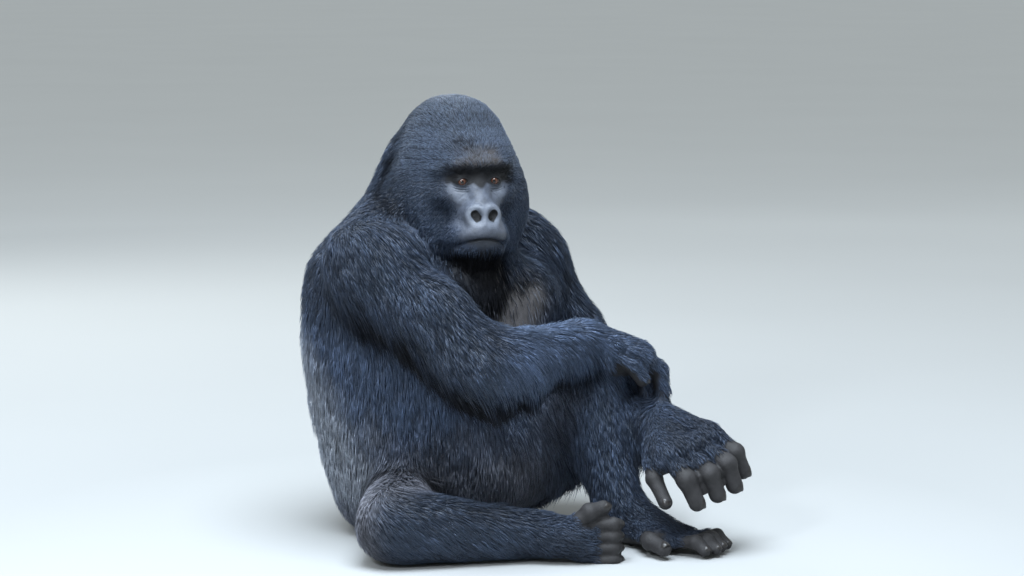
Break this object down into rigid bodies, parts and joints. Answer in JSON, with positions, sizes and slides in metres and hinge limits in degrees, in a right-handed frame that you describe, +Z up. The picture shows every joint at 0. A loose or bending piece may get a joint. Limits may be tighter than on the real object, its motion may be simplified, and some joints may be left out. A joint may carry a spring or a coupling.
{
  "type": "seated gorilla",
  "caption": "Seated silverback mountain gorilla with a full coat, one forearm laid over a raised knee, head turned to its right.",
  "frame": {"origin": "middle of the outline seen from above, at floor level", "axes": "+Z up; the trunk faces -Y; +X is the animal's left side"},
  "size_m": [0.9072, 1.0022, 0.9776],
  "materials": {
    "coat_black": "short, dense, soft black fur",
    "bare_skin": "creased dark grey skin",
    "eye": "wet, dark reddish brown"
  },
  "bodies": {
    "root": {"eye_right": "eye", "eye_left": "eye", "head": "coat_black", "ear_right": "bare_skin", "ear_left": "bare_skin", "trunk": "coat_black", "neck": "coat_black", "thigh_left": "coat_black", "shin_left": "coat_black", "foot_left": "bare_skin", "thigh_right": "coat_black", "shin_right": "coat_black", "foot_right": "bare_skin", "upper_arm_left": "coat_black", "forearm_left": "coat_black", "hand_left": "bare_skin", "upper_arm_right": "coat_black", "forearm_right": "coat_black", "hand_right": "bare_skin"}
  },
  "joints": []
}
